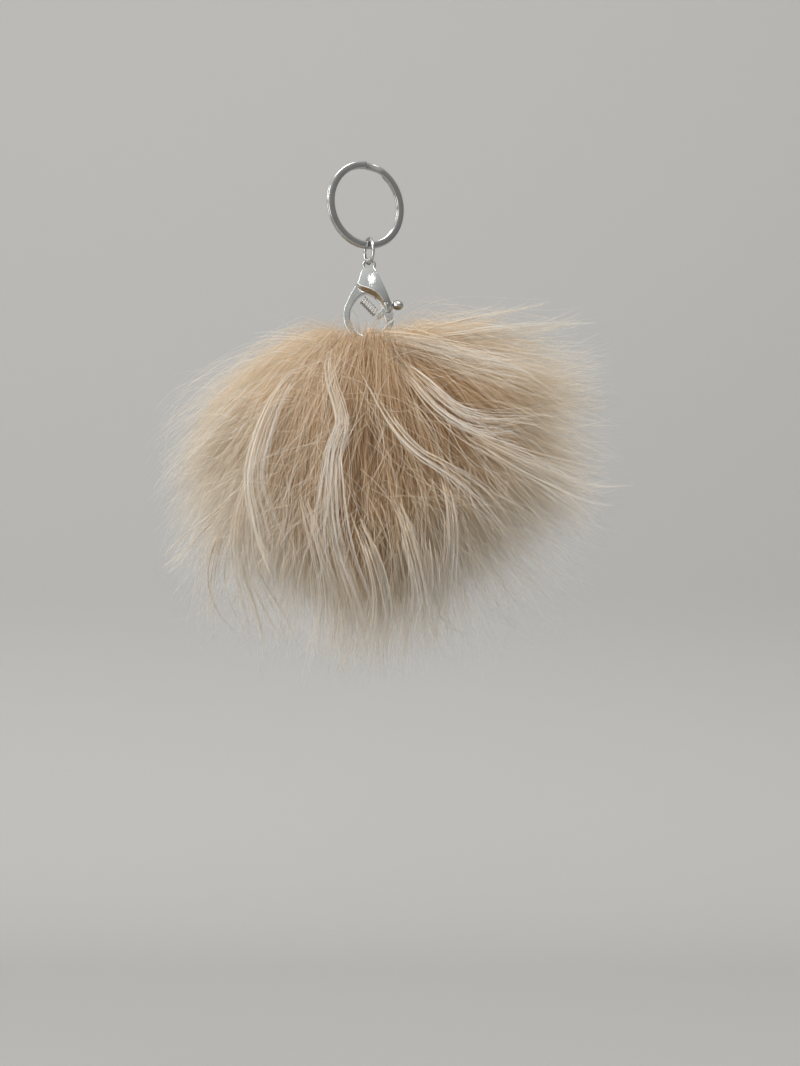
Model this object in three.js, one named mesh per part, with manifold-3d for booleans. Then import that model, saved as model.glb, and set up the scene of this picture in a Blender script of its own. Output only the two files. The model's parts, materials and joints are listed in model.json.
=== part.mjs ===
// A fur pom-pom keychain, hanging from the inside top of its split ring.
// Millimetres, +Z up, front towards -Y. The origin is where a hook or a finger bears on the ring.
import * as THREE from 'three';
import * as BufferGeometryUtils from 'three/addons/utils/BufferGeometryUtils.js';
import Module from 'manifold-3d';

const wasm = await Module();
wasm.setup();

// ---------------------------------------------------------------- driving dimensions
const RING_OUTER_RADIUS = 13.8;
const RING_WIRE_WIDTH = 2.3;
const RING_TURN_THICKNESS = 0.82;
const RING_TURN_GAP = 0.1;
const RING_CORNER = 0.2;
const RING_YAW = THREE.MathUtils.degToRad(31);
const RING_LEAN = THREE.MathUtils.degToRad(5.6);
const RING_SPLIT_ANGLE = THREE.MathUtils.degToRad(80);
const RING_END_INSET = THREE.MathUtils.degToRad(16);
const RING_CROSSOVER = THREE.MathUtils.degToRad(12);

const LINK_WIRE_RADIUS = 0.525;
const LINK_HALF_WIDTH = 2.72;
const LINK_HALF_HEIGHT = 3.93;
const LINK_TOP_REST = 2.01;
const LINK_BUTT_GAP = THREE.MathUtils.degToRad(5);

const EYE_RADIUS = 1.75;
const EYE_WIRE_RADIUS = 0.55;
const EYE_DROP = 0.48;
const BODY_HALF_THICKNESS = 2.9;
const ARM_HALF_THICKNESS = 1.7;
const HOOK_CENTRE_Z = -16.4;
const HOOK_HALF_WIDTH = 8.1;
const HOOK_HALF_HEIGHT = 8.6;
const HOOK_BAR = 2.1;
const HOOK_SHOULDER = THREE.MathUtils.degToRad(148);
const HOOK_THROAT = THREE.MathUtils.degToRad(151);
const HOOK_TIP_OUTSIDE = THREE.MathUtils.degToRad(-7.4);
const HOOK_TIP_INSIDE = THREE.MathUtils.degToRad(-25.2);
const PIVOT_X = 5.2;
const PIVOT_Z = -12.4;
const PIN_RADIUS = 0.5;
const PIN_HALF_LENGTH = 2.15;
const KNOB = new THREE.Vector3(9.1, 0, -12.8);
const KNOB_RADIUS = 1.6;
const KNOB_HALF_LENGTH = 1.9;
const HUB_RADIUS = 1.5;
const LEVER_HALF_THICKNESS = 1.05;
const SLOT_HALF_WIDTH = 1.3;

const SPRING_WIRE_RADIUS = 0.22;
const SPRING_RADIUS = 1.25;
const SPRING_TURNS = 6.5;
const SPRING_SEAT = new THREE.Vector3(-2.15, 0, -10.95);
const SPRING_PUSH = new THREE.Vector3(2.2, 0, -15.35);

const CORD_RADIUS = 0.9;
const CORD_WRAP_RADIUS = 3.1;
const CORD_STRAND_OFFSET = 1.35;
const BUTTON_RADIUS = 6;
const BUTTON_THICKNESS = 1.6;
const BUTTON_CHAMFER = 0.4;
const KNOT_RADIUS = 2.6;

const HIDE_RADIUS = 26;
const HIDE_THICKNESS = 1.2;
const HIDE_NECK_RADIUS = 4.2;
const HIDE_NECK_BORE = 2.7;
const THREAD_RADIUS = 0.35;
const THREAD_TURNS = 3;
const FUR_HALF_WIDTH = 64;
const FUR_HALF_DEPTH = 56;
const FUR_OFFSET_X = 5;
const FUR_TOP_Z = -49;
const FUR_BOTTOM_Z = -154;
const CROWN_RADIUS = 10.2;

const GAP = 0.3;

// ---------------------------------------------------------------- places along the chain
const RING_INNER_RADIUS = RING_OUTER_RADIUS - RING_WIRE_WIDTH;
const RING_MID_RADIUS = RING_OUTER_RADIUS - RING_WIRE_WIDTH / 2;

// The ring hangs on edge in a plumb plane. It leans a little, so its centre lies to one side of the
// vertical line through the origin, which the link and everything below it hang on.
const ringTurn = new THREE.Euler(0, RING_LEAN, RING_YAW, 'ZXY');
const RING_CENTRE_ASIDE = RING_INNER_RADIUS * Math.sin(RING_LEAN);
const RING_CENTRE_Z = -RING_INNER_RADIUS * Math.cos(RING_LEAN);
const RING_LOW_Z = RING_CENTRE_Z - Math.sqrt(RING_MID_RADIUS ** 2 - RING_CENTRE_ASIDE ** 2);
const LINK_Z = RING_LOW_Z + LINK_TOP_REST - LINK_HALF_HEIGHT;
const EYE_Z = LINK_Z - LINK_HALF_HEIGHT - EYE_DROP;
const BAR_Z = EYE_Z + HOOK_CENTRE_Z - HOOK_HALF_HEIGHT + HOOK_BAR / 2;
const CROWN_FLOOR_Z = BAR_Z - 2.6;
const NECK_TOP_Z = CROWN_FLOOR_Z - 1.2;
const NECK_BASE_Z = NECK_TOP_Z - 4.6;
const HIDE_CENTRE_Z = NECK_BASE_Z - HIDE_RADIUS + 1;
const BUTTON_Z = NECK_BASE_Z - 4.4;
const KNOT_Z = BUTTON_Z - BUTTON_THICKNESS - KNOT_RADIUS;

// ---------------------------------------------------------------- materials
const nickel = new THREE.MeshStandardMaterial({ color: 0xc9ccd0, metalness: 1, roughness: 0.16 });
const nickelCast = new THREE.MeshStandardMaterial({ color: 0xbfc4c8, metalness: 1, roughness: 0.2 });
const steel = new THREE.MeshStandardMaterial({ color: 0x9a9c9e, metalness: 1, roughness: 0.35 });
const elastic = new THREE.MeshStandardMaterial({ color: 0xb59a7c, metalness: 0, roughness: 0.85 });
const thread = new THREE.MeshStandardMaterial({ color: 0xcdb79a, metalness: 0, roughness: 0.9 });
const button = new THREE.MeshStandardMaterial({ color: 0xe4dccb, metalness: 0, roughness: 0.4 });
const hide = new THREE.MeshStandardMaterial({ color: 0xd9c6a8, metalness: 0, roughness: 0.8 });
const fill = new THREE.MeshStandardMaterial({ color: 0xf2f0ea, metalness: 0, roughness: 1 });
const fur = new THREE.MeshStandardMaterial({ color: 0xb8966c, metalness: 0, roughness: 0.95 });

// ---------------------------------------------------------------- solid helpers
function toSolid(geometry) {
  const bare = geometry.clone();
  bare.deleteAttribute('normal');
  bare.deleteAttribute('uv');
  const merged = BufferGeometryUtils.mergeVertices(bare, 1e-4);
  const mesh = new wasm.Mesh({
    numProp: 3,
    vertProperties: new Float32Array(merged.attributes.position.array),
    triVerts: new Uint32Array(merged.index.array),
  });
  return new wasm.Manifold(mesh);
}

function toGeometry(solid) {
  const mesh = solid.getMesh();
  const geometry = new THREE.BufferGeometry();
  geometry.setAttribute('position', new THREE.BufferAttribute(mesh.vertProperties, 3));
  geometry.setIndex(new THREE.BufferAttribute(mesh.triVerts, 1));
  return geometry;
}

function part(name, geometry, material) {
  const mesh = new THREE.Mesh(geometry, material);
  mesh.name = name;
  return mesh;
}

// A plate whose outline is drawn in X and Z, centred on the plane y = 0.
function plate(shape, halfThickness, bevel = 0, curveSegments = 10) {
  const geometry = new THREE.ExtrudeGeometry(shape, {
    depth: 2 * (halfThickness - bevel),
    bevelEnabled: bevel > 0,
    bevelThickness: bevel,
    bevelSize: bevel,
    bevelOffset: -bevel,
    bevelSegments: 2,
    curveSegments,
  });
  geometry.translate(0, 0, bevel - halfThickness);
  geometry.rotateX(Math.PI / 2);
  return geometry;
}

// A cylinder lying along Y through the point (x, z).
function crossRod(radius, halfLength, x, z, sides = 20) {
  const geometry = new THREE.CylinderGeometry(radius, radius, 2 * halfLength, sides);
  geometry.translate(x, 0, z);
  return geometry;
}

function roundSection(radius, sides) {
  const points = [];
  for (let i = 0; i < sides; i += 1) {
    const angle = (2 * Math.PI * i) / sides;
    points.push(new THREE.Vector2(radius * Math.cos(angle), radius * Math.sin(angle)));
  }
  return new THREE.Shape(points);
}

function rod(path, radius, steps, sides = 8) {
  return new THREE.ExtrudeGeometry(roundSection(radius, sides), {
    extrudePath: path,
    steps,
    bevelEnabled: false,
  });
}

// A body of revolution about Z from a profile of [radius, height] pairs, drawn either way round.
function turned(profile, sides) {
  const points = profile.map(([radius, height]) => new THREE.Vector2(radius, height));
  if (THREE.ShapeUtils.area(points) < 0) {
    points.reverse();
  }
  const geometry = new THREE.LatheGeometry(points, sides);
  geometry.rotateX(Math.PI / 2);
  return geometry;
}

class Helix extends THREE.Curve {
  constructor(radius, length, turns) {
    super();
    this.radius = radius;
    this.length = length;
    this.turns = turns;
  }

  getPoint(t, target = new THREE.Vector3()) {
    const angle = 2 * Math.PI * this.turns * t;
    const height = this.length * t;
    return target.set(this.radius * Math.cos(angle), this.radius * Math.sin(angle), height);
  }
}

// ---------------------------------------------------------------- split ring
// Flat wire wound twice round. It crosses from the front turn to the back one at the split.
class SplitRingPath extends THREE.Curve {
  getPoint(t, target = new THREE.Vector3()) {
    const wound = RING_END_INSET + t * (4 * Math.PI - 2 * RING_END_INSET);
    const angle = RING_SPLIT_ANGLE + wound;
    const across = THREE.MathUtils.smoothstep(wound - 2 * Math.PI, -RING_CROSSOVER, RING_CROSSOVER);
    const step = RING_TURN_THICKNESS + RING_TURN_GAP;
    const x = RING_MID_RADIUS * Math.cos(angle);
    const z = RING_MID_RADIUS * Math.sin(angle);
    return target.set(x, step * (across - 0.5), z);
  }

  // The wire's flat sides stay square to the ring's axis, so its frames are given outright.
  computeFrenetFrames(segments) {
    const frames = { tangents: [], normals: [], binormals: [] };
    for (let i = 0; i <= segments; i += 1) {
      const point = this.getPointAt(i / segments);
      const outward = new THREE.Vector3(point.x, 0, point.z).normalize();
      const axial = new THREE.Vector3(0, -1, 0);
      frames.tangents.push(new THREE.Vector3().crossVectors(axial, outward));
      frames.normals.push(axial);
      frames.binormals.push(outward);
    }
    return frames;
  }
}

function flatWireSection() {
  const half = RING_TURN_THICKNESS / 2;
  const reach = RING_WIRE_WIDTH / 2;
  const shape = new THREE.Shape();
  shape.moveTo(-half + RING_CORNER, -reach);
  shape.lineTo(half - RING_CORNER, -reach);
  shape.lineTo(half, -reach + RING_CORNER);
  shape.lineTo(half, reach - RING_CORNER);
  shape.lineTo(half - RING_CORNER, reach);
  shape.lineTo(-half + RING_CORNER, reach);
  shape.lineTo(-half, reach - RING_CORNER);
  shape.lineTo(-half, -reach + RING_CORNER);
  shape.closePath();
  return shape;
}

function makeSplitRing() {
  const geometry = new THREE.ExtrudeGeometry(flatWireSection(), {
    extrudePath: new SplitRingPath(),
    steps: 112,
    bevelEnabled: false,
  });
  geometry.translate(0, 0, -RING_INNER_RADIUS);
  const ring = part('split_ring', geometry, nickel);
  const group = new THREE.Group();
  group.rotation.copy(ringTurn);
  group.add(ring);
  return group;
}

// ---------------------------------------------------------------- link between ring and clasp
class OvalPath extends THREE.Curve {
  getPoint(t, target = new THREE.Vector3()) {
    const angle = LINK_BUTT_GAP / 2 + t * (2 * Math.PI - LINK_BUTT_GAP);
    return target.set(0, LINK_HALF_WIDTH * Math.cos(angle), LINK_HALF_HEIGHT * Math.sin(angle));
  }
}

function makeLinkRing() {
  const link = part('link_ring', rod(new OvalPath(), LINK_WIRE_RADIUS, 44, 10), nickel);
  link.position.z = LINK_Z;
  link.rotation.z = RING_YAW;
  return link;
}

// ---------------------------------------------------------------- lobster clasp
// The head is a domed drop. Its lower edge is hollowed where the lever's spring lies.
function headOutline() {
  const shape = new THREE.Shape();
  shape.moveTo(-1.7, -1.2);
  shape.lineTo(-2.5, -2.4);
  shape.bezierCurveTo(-2.8, -4, -3.2, -5.4, -4, -6.8);
  shape.bezierCurveTo(-2.8, -9.6, 2.6, -8.4, 5.3, -15);
  shape.bezierCurveTo(6, -15.8, 7.6, -15.2, 7.5, -13.6);
  shape.bezierCurveTo(7, -11.4, 4.4, -5.6, 2.5, -2.4);
  shape.lineTo(1.7, -1.2);
  shape.closePath();
  return shape;
}

// The arm runs from the head's left shoulder round the bottom and ends in the hook's slanted tip.
function hookOutline() {
  const tipOutside = 2 * Math.PI + HOOK_TIP_OUTSIDE;
  const tipInside = 2 * Math.PI + HOOK_TIP_INSIDE;
  const shoulderX = HOOK_HALF_WIDTH * Math.cos(HOOK_SHOULDER);
  const shoulderZ = HOOK_CENTRE_Z + HOOK_HALF_HEIGHT * Math.sin(HOOK_SHOULDER);
  const across = HOOK_HALF_WIDTH - HOOK_BAR;
  const down = HOOK_HALF_HEIGHT - HOOK_BAR;
  const shape = new THREE.Shape();
  shape.moveTo(-1.2, -5);
  shape.lineTo(-3.4, -6);
  shape.quadraticCurveTo(-5.7, -8.7, shoulderX, shoulderZ);
  shape.absellipse(0, HOOK_CENTRE_Z, HOOK_HALF_WIDTH, HOOK_HALF_HEIGHT, HOOK_SHOULDER, tipOutside, false);
  shape.absellipse(0, HOOK_CENTRE_Z, across, down, tipInside, HOOK_THROAT, true);
  shape.quadraticCurveTo(-4.2, -11.2, -2.6, -9.8);
  shape.lineTo(0.6, -8.6);
  shape.closePath();
  return shape;
}

function slotOutline() {
  const shape = new THREE.Shape();
  shape.moveTo(0.6, -17.5);
  shape.lineTo(0.6, -12.2);
  shape.bezierCurveTo(1.4, -9.6, 4.4, -9.6, 5.4, -9.6);
  shape.lineTo(9, -9.6);
  shape.lineTo(9, -17.5);
  shape.closePath();
  return shape;
}

function makeClaspBody() {
  const head = toSolid(plate(headOutline(), BODY_HALF_THICKNESS, 0.35));
  const dome = new THREE.SphereGeometry(1, 32, 20);
  dome.scale(8.4, BODY_HALF_THICKNESS, 12);
  dome.translate(1.2, 0, -9.2);
  const arm = toSolid(plate(hookOutline(), ARM_HALF_THICKNESS, 0.4, 14));
  const eye = new THREE.TorusGeometry(EYE_RADIUS, EYE_WIRE_RADIUS, 10, 28);
  eye.rotateX(Math.PI / 2);
  const slot = toSolid(plate(slotOutline(), SLOT_HALF_WIDTH));
  const pinHole = toSolid(crossRod(PIN_RADIUS + 0.05, BODY_HALF_THICKNESS + 1, PIVOT_X, PIVOT_Z));
  const solid = head
    .intersect(toSolid(dome))
    .add(arm.subtract(slot))
    .add(toSolid(eye))
    .subtract(slot)
    .subtract(pinHole);
  return part('clasp_body', toGeometry(solid), nickelCast);
}

function makeClaspPin() {
  return part('clasp_pin', crossRod(PIN_RADIUS, PIN_HALF_LENGTH, PIVOT_X, PIVOT_Z, 16), steel);
}

function gateOutline() {
  const shape = new THREE.Shape();
  shape.moveTo(6.2, -12.6);
  shape.lineTo(7.35, -14.6);
  shape.quadraticCurveTo(8.05, -15.8, 7.75, -16.9);
  shape.lineTo(5.5, -18.6);
  shape.quadraticCurveTo(5.2, -16.8, 3.9, -14.6);
  shape.closePath();
  return shape;
}

// The lug that the spring pushes on, square to the spring's line.
function lugOutline() {
  const shape = new THREE.Shape();
  shape.moveTo(4.6, -13.4);
  shape.lineTo(3.9, -14.5);
  shape.lineTo(3.35, -15);
  shape.lineTo(1.9, -16.6);
  shape.lineTo(2.7, -17.4);
  shape.quadraticCurveTo(4.3, -16.8, 5.4, -15.4);
  shape.closePath();
  return shape;
}

function stemOutline() {
  const shape = new THREE.Shape();
  shape.moveTo(5, -11.6);
  shape.lineTo(8.4, -11.9);
  shape.lineTo(8.6, -13.6);
  shape.lineTo(5.4, -13.9);
  shape.closePath();
  return shape;
}

function makeClaspLever() {
  const hub = toSolid(crossRod(HUB_RADIUS, LEVER_HALF_THICKNESS, PIVOT_X, PIVOT_Z, 28));
  const gate = toSolid(plate(gateOutline(), LEVER_HALF_THICKNESS, 0.25));
  const lug = toSolid(plate(lugOutline(), LEVER_HALF_THICKNESS, 0.15));
  const stem = toSolid(plate(stemOutline(), LEVER_HALF_THICKNESS - 0.15, 0.2));
  const knob = new THREE.SphereGeometry(1, 20, 14);
  knob.scale(KNOB_HALF_LENGTH, KNOB_RADIUS, KNOB_RADIUS);
  knob.rotateY(THREE.MathUtils.degToRad(12));
  knob.translate(KNOB.x, KNOB.y, KNOB.z);
  const bore = toSolid(crossRod(PIN_RADIUS + 0.08, BODY_HALF_THICKNESS, PIVOT_X, PIVOT_Z));
  const solid = hub.add(gate).add(lug).add(stem).add(toSolid(knob)).subtract(bore);
  return part('clasp_lever', toGeometry(solid), nickel);
}

function makeLeverSpring() {
  const along = SPRING_PUSH.clone().sub(SPRING_SEAT);
  const inset = GAP / 2 + SPRING_WIRE_RADIUS;
  const helix = new Helix(SPRING_RADIUS, along.length() - 2 * inset, SPRING_TURNS);
  const geometry = rod(helix, SPRING_WIRE_RADIUS, 78, 6);
  geometry.translate(0, 0, inset);
  const spring = part('lever_spring', geometry, steel);
  spring.quaternion.setFromUnitVectors(new THREE.Vector3(0, 0, 1), along.normalize());
  spring.position.copy(SPRING_SEAT);
  return spring;
}

function makeClasp() {
  const clasp = new THREE.Group();
  clasp.position.z = EYE_Z;
  clasp.add(makeClaspBody(), makeClaspPin(), makeClaspLever(), makeLeverSpring());
  return clasp;
}

// ---------------------------------------------------------------- elastic loop
// One strand's points in Y and Z from the middle of the hook's bar, from the knot up to the bar.
function strandPoints() {
  const low = KNOT_Z - BAR_Z + KNOT_RADIUS + GAP;
  const neck = NECK_TOP_Z - BAR_Z;
  const middle = (low + neck) / 2;
  return [
    [CORD_STRAND_OFFSET, low],
    [CORD_STRAND_OFFSET, middle - 2],
    [CORD_STRAND_OFFSET, middle + 1.5],
    [CORD_STRAND_OFFSET + 0.15, neck - 0.4],
    [CORD_WRAP_RADIUS - 0.35, -1.9],
  ];
}

// Both strands leave the knot, pass the button and the neck, and meet over the hook's bar.
function loopRoute() {
  const up = strandPoints().map(([y, z]) => new THREE.Vector3(0, -y, z));
  const down = strandPoints().map(([y, z]) => new THREE.Vector3(0, y, z));
  const over = [];
  const steps = 8;
  for (let i = 0; i <= steps; i += 1) {
    const angle = Math.PI * (1 - i / steps);
    over.push(new THREE.Vector3(0, CORD_WRAP_RADIUS * Math.cos(angle), CORD_WRAP_RADIUS * Math.sin(angle)));
  }
  return new THREE.CatmullRomCurve3([...up, ...over, ...down.reverse()], false, 'centripetal');
}

function makeLoopCord() {
  return part('loop_cord', rod(loopRoute(), CORD_RADIUS, 56, 8), elastic);
}

function makeLoopKnot() {
  const knot = new THREE.SphereGeometry(1, 16, 10);
  knot.scale(KNOT_RADIUS, KNOT_RADIUS, KNOT_RADIUS * 0.95);
  knot.translate(0, 0, KNOT_Z - BAR_Z);
  return part('loop_knot', knot, elastic);
}

function makeAnchorButton() {
  const holeRadius = CORD_RADIUS + 0.2;
  const top = BUTTON_Z - BAR_Z;
  const disc = turned(
    [
      [0, -BUTTON_THICKNESS],
      [BUTTON_RADIUS - BUTTON_CHAMFER, -BUTTON_THICKNESS],
      [BUTTON_RADIUS, -BUTTON_THICKNESS / 2],
      [BUTTON_RADIUS - BUTTON_CHAMFER, 0],
      [0, 0],
    ],
    32,
  );
  let solid = toSolid(disc);
  for (const side of [-1, 1]) {
    const hole = new THREE.CylinderGeometry(holeRadius, holeRadius, 4 * BUTTON_THICKNESS, 14);
    hole.rotateX(Math.PI / 2);
    hole.translate(0, side * CORD_STRAND_OFFSET, 0);
    solid = solid.subtract(toSolid(hole));
  }
  const geometry = toGeometry(solid);
  geometry.translate(0, 0, top);
  return part('anchor_button', geometry, button);
}

function makeLoop() {
  const loop = new THREE.Group();
  loop.position.z = BAR_Z;
  loop.add(makeLoopCord(), makeLoopKnot(), makeAnchorButton());
  return loop;
}

// ---------------------------------------------------------------- pom-pom
// Every height below is measured from the ball's centre.
const NECK_TOP = NECK_TOP_Z - HIDE_CENTRE_Z;
const NECK_BASE = NECK_BASE_Z - HIDE_CENTRE_Z;
const NECK_FLARE = 2.5;
const THREAD_WIND_RADIUS = HIDE_NECK_RADIUS + THREAD_RADIUS + GAP / 2;

// Points down a ball of this radius, from where it is that wide at the top to its lowest point.
function ballProfile(radius, topRadius) {
  const steps = 16;
  const start = Math.asin(topRadius / radius);
  const profile = [];
  for (let i = 0; i < steps; i += 1) {
    const angle = start + ((Math.PI - start) * i) / steps;
    profile.push([radius * Math.sin(angle), radius * Math.cos(angle)]);
  }
  profile.push([0, -radius]);
  return profile;
}

// The pelt is a round skin gathered to a neck, with its bore open at the top.
function makeHideShell() {
  const outside = ballProfile(HIDE_RADIUS, HIDE_NECK_RADIUS + NECK_FLARE);
  const inside = ballProfile(HIDE_RADIUS - HIDE_THICKNESS, HIDE_NECK_BORE + NECK_FLARE).reverse();
  const shell = turned(
    [
      [HIDE_NECK_RADIUS, NECK_TOP],
      [HIDE_NECK_RADIUS, NECK_BASE + 1],
      ...outside,
      ...inside,
      [HIDE_NECK_BORE, NECK_BASE],
      [HIDE_NECK_BORE, NECK_TOP],
      [HIDE_NECK_RADIUS, NECK_TOP],
    ],
    24,
  );
  return part('hide_shell', shell, hide);
}

function makeGatherThread() {
  const helix = new Helix(THREAD_WIND_RADIUS, 2.4, THREAD_TURNS);
  const geometry = rod(helix, THREAD_RADIUS, 45, 6);
  geometry.translate(0, 0, NECK_BASE + 1.8);
  return part('gather_thread', geometry, thread);
}

// The filling is a ball with a pocket in its top for the button and the knot.
function makeFibrefillCore() {
  const pocket = BUTTON_RADIUS + 0.8;
  const floor = KNOT_Z - KNOT_RADIUS - 1 - HIDE_CENTRE_Z;
  const outside = ballProfile(HIDE_RADIUS - HIDE_THICKNESS - GAP, pocket);
  return part('fibrefill_core', turned([[0, floor], [pocket, floor], ...outside], 24), fill);
}

// The hair's outside: narrow at the top and bottom and widest a little above the middle.
function furProfile(top, bottom) {
  const widest = bottom + 0.53 * (top - bottom);
  const steps = 18;
  const profile = [[0, top]];
  for (let i = 1; i < steps; i += 1) {
    const angle = Math.PI / 2 - (Math.PI * i) / steps;
    const span = angle > 0 ? top - widest : widest - bottom;
    profile.push([Math.cos(angle) ** 0.86, widest + span * Math.sin(angle)]);
  }
  profile.push([0, bottom]);
  return profile;
}

// The hair is one soft mass round the pelt, with a hollow crown where the hook goes in.
function makeFurPile() {
  const top = FUR_TOP_Z - HIDE_CENTRE_Z;
  const bottom = FUR_BOTTOM_Z - HIDE_CENTRE_Z;
  const outside = turned(furProfile(top, bottom), 36);
  outside.scale(FUR_HALF_WIDTH, FUR_HALF_DEPTH, 1);
  outside.translate(FUR_OFFSET_X, 0, 0);
  const threadRoom = THREAD_WIND_RADIUS + THREAD_RADIUS + GAP;
  const cavity = [
    [0, NECK_TOP + 4],
    [threadRoom, NECK_TOP + 4],
    [threadRoom, NECK_BASE + 1],
    ...ballProfile(HIDE_RADIUS + GAP, HIDE_NECK_RADIUS + GAP + NECK_FLARE),
  ];
  const floor = CROWN_FLOOR_Z - HIDE_CENTRE_Z;
  const crown = [
    [0, floor],
    [CROWN_RADIUS, floor],
    [CROWN_RADIUS + 1.6, top - 2],
    [CROWN_RADIUS + 5.5, top + 3],
    [0, top + 3],
  ];
  const solid = toSolid(outside).subtract(toSolid(turned(cavity, 24))).subtract(toSolid(turned(crown, 24)));
  return part('fur_pile', toGeometry(solid), fur);
}

function makePom() {
  const pom = new THREE.Group();
  pom.position.z = HIDE_CENTRE_Z;
  pom.add(makeHideShell(), makeGatherThread(), makeFibrefillCore(), makeFurPile());
  return pom;
}

// ---------------------------------------------------------------- the whole keychain
const keychain = new THREE.Group();
keychain.add(makeSplitRing(), makeLinkRing(), makeClasp(), makeLoop(), makePom());

export default keychain;
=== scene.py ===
"""A fur pom-pom keychain hanging by its split ring, in metres, +Z up, front towards -Y."""
import json
import math

import bmesh
import bpy
import numpy as np
from mathutils import Matrix, Vector


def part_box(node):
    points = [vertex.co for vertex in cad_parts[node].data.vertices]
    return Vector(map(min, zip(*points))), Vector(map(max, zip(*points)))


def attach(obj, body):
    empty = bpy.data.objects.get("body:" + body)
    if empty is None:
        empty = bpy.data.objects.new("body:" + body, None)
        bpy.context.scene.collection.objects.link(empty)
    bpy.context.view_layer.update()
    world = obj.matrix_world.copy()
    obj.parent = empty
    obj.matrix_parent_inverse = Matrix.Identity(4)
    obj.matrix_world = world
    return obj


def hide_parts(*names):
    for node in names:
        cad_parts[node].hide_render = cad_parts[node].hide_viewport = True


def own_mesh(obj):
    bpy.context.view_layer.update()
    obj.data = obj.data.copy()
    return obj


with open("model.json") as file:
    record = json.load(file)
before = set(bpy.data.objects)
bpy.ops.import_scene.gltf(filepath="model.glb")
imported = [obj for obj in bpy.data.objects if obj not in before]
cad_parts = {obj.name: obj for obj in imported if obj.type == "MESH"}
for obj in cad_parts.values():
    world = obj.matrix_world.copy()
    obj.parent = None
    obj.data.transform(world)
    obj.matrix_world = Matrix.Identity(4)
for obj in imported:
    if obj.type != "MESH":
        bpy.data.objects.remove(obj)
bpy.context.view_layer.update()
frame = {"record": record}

MM = 0.001
rng = np.random.RandomState(20)

# ---- places, in millimetres
JOINT = {j["name"]: j for j in frame["record"]["behaviour"]["joints"]}


def joint_place(name):
    return np.array(JOINT[name]["pos_m"]) / MM


def node_box(name):
    low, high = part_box(name)
    return np.array(low) / MM, np.array(high) / MM


CHAIN = joint_place("loop_swing")
RING_YAW = math.atan2(JOINT["link_swing"]["axis"][1], JOINT["link_swing"]["axis"][0])
RING_LEAN = math.radians(5.6)
RING_INNER = 11.5
RING_WIRE_WIDTH = 2.3
RING_TURN_THICKNESS = 0.82
RING_TURN_GAP = 0.1
RING_SQUARENESS = 2.8
LINK_WIRE_RADIUS = 0.525
LINK_HALF_WIDTH = 2.72
LINK_HALF_HEIGHT = 3.93
EYE_DROP = 0.48
HIDE_RADIUS = 26.0
HIDE_THICKNESS = 1.2
NECK_RADIUS = 4.2

hide_low, hide_high = node_box("hide_shell")
BALL = np.array([CHAIN[0], CHAIN[1], hide_low[2] + HIDE_RADIUS])
NECK_TOP = hide_high[2]
fur_low, fur_high = node_box("fur_pile")
FUR_CENTRE = (fur_low + fur_high) / 2
FUR_HALF = (fur_high - fur_low) / 2
EYE = joint_place("clasp_swing") - (0, 0, EYE_DROP)

# ---- camera and light, in metres
CAMERA_DISTANCE = 0.42
CAMERA_X = 0.0099
CAMERA_Z = -0.1157
VIEW_HEIGHT = 0.3395          # how much of the scene the picture takes in, at the object
WORLD_STRENGTH = 1.25
WORLD_BRIGHT_SIDE = (-0.45, -0.10, 0.89)
# From the side opposite the bright one (0) to the bright one (1).
WORLD_TONES = [
    (0.15, (0.06, 0.06, 0.06)), (0.33, (0.21, 0.21, 0.21)), (0.45, (0.23, 0.23, 0.23)),
    (0.55, (0.40, 0.40, 0.40)), (0.64, (0.50, 0.505, 0.51)), (1.0, (1.0, 1.0, 1.0)),
]
OBJECT_MIDDLE = (0.0, 0.0, -0.09)


def ramp_node(nodes, stops):
    ramp = nodes.new("ShaderNodeValToRGB")
    elements = ramp.color_ramp.elements
    while len(elements) < len(stops):
        elements.new(0.5)
    for element, (position, colour) in zip(elements, stops):
        element.position = position
        element.color = (*colour, 1)
    return ramp


def add_object(name, data):
    obj = bpy.data.objects.new(name, data)
    bpy.context.scene.collection.objects.link(obj)
    return obj


def make_camera():
    data = bpy.data.cameras.new("camera")
    camera = add_object("camera", data)
    camera.location = (CAMERA_X, -CAMERA_DISTANCE, CAMERA_Z)
    camera.rotation_euler = (math.radians(90), 0, 0)
    data.sensor_width = 36
    data.lens = data.sensor_width * CAMERA_DISTANCE / VIEW_HEIGHT
    data.clip_start = 0.01
    data.clip_end = 20
    bpy.context.scene.camera = camera


def area_light(name, place, target, size, power, colour):
    data = bpy.data.lights.new(name, "AREA")
    data.shape = "RECTANGLE"
    data.size, data.size_y = size
    data.energy = power
    data.color = colour
    light = add_object(name, data)
    light.location = place
    light.rotation_euler = (Vector(target) - Vector(place)).to_track_quat("-Z", "Y").to_euler()


def set_inputs(node, **values):
    """Sets a node's sockets; an underscore in a socket's name stands for a space."""
    for socket, value in values.items():
        node.inputs[socket.replace("_", " ")].default_value = value


def add_node(nodes, kind, **values):
    node = nodes.new("ShaderNode" + kind)
    set_inputs(node, **values)
    return node


def connect(tree, *wires):
    """Links sockets, each wire given as (node, output, node, input)."""
    for source, output, target, socket in wires:
        tree.links.new(source.outputs[output], target.inputs[socket])


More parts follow.
